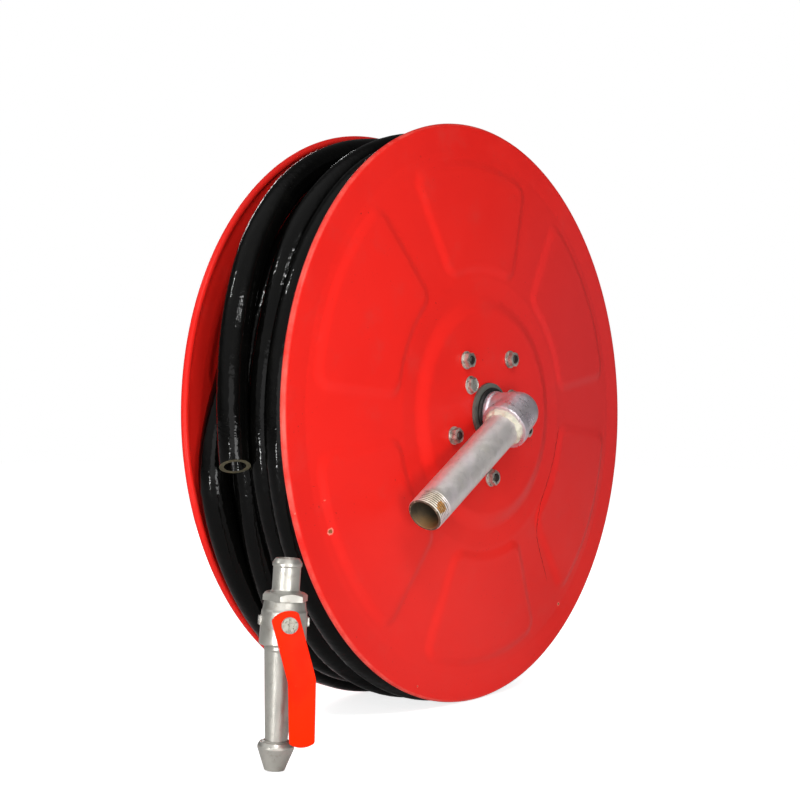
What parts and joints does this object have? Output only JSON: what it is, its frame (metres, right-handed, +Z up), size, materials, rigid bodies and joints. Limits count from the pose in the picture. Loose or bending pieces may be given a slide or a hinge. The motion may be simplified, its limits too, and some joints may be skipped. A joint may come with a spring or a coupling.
{
  "type": "fire hose reel",
  "caption": "Fire hose reel: two red pressed discs on a water-fed hub, wound black rubber hose, slanted inlet pipe, and a loose hand nozzle with a red valve lever.",
  "frame": {"origin": "middle of the mouth of the inlet pipe, the end that screws into the water supply", "axes": "+Y along the drum's axis, from the inlet side to the rear disc; +Z up; +X to the right as seen from the inlet side"},
  "size_m": [0.6442, 0.2544, 0.5505],
  "materials": {
    "galvanised": "galvanised, satin with a fine spangle",
    "compound": "dried jointing compound",
    "machined_steel": "machined",
    "cast_hub": "cast, painted grey",
    "dark_steel": "dark, oiled",
    "red_paint": "bright red gloss over pressed steel, a few chips",
    "bronze": "plain bearing bronze",
    "seal_rubber": "moulded seal",
    "zinc": "zinc plated",
    "brass_fitting": "turned brass",
    "hose_rubber": "glossy smooth black rubber",
    "nozzle_alloy": "satin cast and turned alloy",
    "seat_plastic": "white seat plastic",
    "polished_steel": "polished",
    "lever_paint": "orange-red coating over steel strap"
  },
  "bodies": {
    "inlet": {"inlet_pipe": "galvanised", "inlet_elbow": "galvanised", "pipe_compound": "compound", "spindle": "machined_steel", "front_thrust_washer": "dark_steel", "rear_thrust_washer": "dark_steel", "spindle_nut": "zinc"},
    "drum": {"front_disc": "red_paint", "rear_disc": "red_paint", "drum_core": "dark_steel", "hub_body": "cast_hub", "front_bush": "bronze", "rear_bush": "bronze", "front_seal": "seal_rubber", "rear_seal": "seal_rubber", "front_hub_bolts": "zinc", "rear_hub_bolts": "zinc", "spacer_tubes": "zinc", "tie_rods": "zinc", "front_tie_washers": "zinc", "front_tie_nuts": "zinc", "rear_tie_washers": "zinc", "rear_tie_nuts": "zinc", "outlet_nipple": "brass_fitting", "outlet_elbow": "brass_fitting", "outlet_barb": "brass_fitting", "hose_clamp": "zinc", "hose_lead": "hose_rubber", "hose_core": "hose_rubber", "hose_winding": "hose_rubber", "hose_tail": "hose_rubber"},
    "nozzle": {"nozzle_tip": "nozzle_alloy", "nozzle_barrel": "nozzle_alloy", "valve_body": "nozzle_alloy", "lower_seat": "seat_plastic", "upper_seat": "seat_plastic", "nozzle_barb": "nozzle_alloy", "stem_gland": "nozzle_alloy"},
    "valve": {"valve_ball": "polished_steel", "valve_stem": "machined_steel", "lever": "lever_paint", "lever_screw": "zinc"}
  },
  "joints": [
    {"name": "drum_spin", "type": "hinge", "parent": "inlet", "child": "drum", "pos_m": [0.14681, 0.052, 0.08961], "axis": [0, -1, 0], "continuous": true},
    {"name": "nozzle_lift", "type": "slide", "parent": "inlet", "child": "nozzle", "axis": [0, 0, 1], "range_m": [0, 0.25]},
    {"name": "lever_turn", "type": "hinge", "parent": "nozzle", "child": "valve", "pos_m": [-0.19352, -0.00876, -0.07088], "axis": [-0.6428, -0.766, 0], "range_deg": [0, 90]}
  ]
}
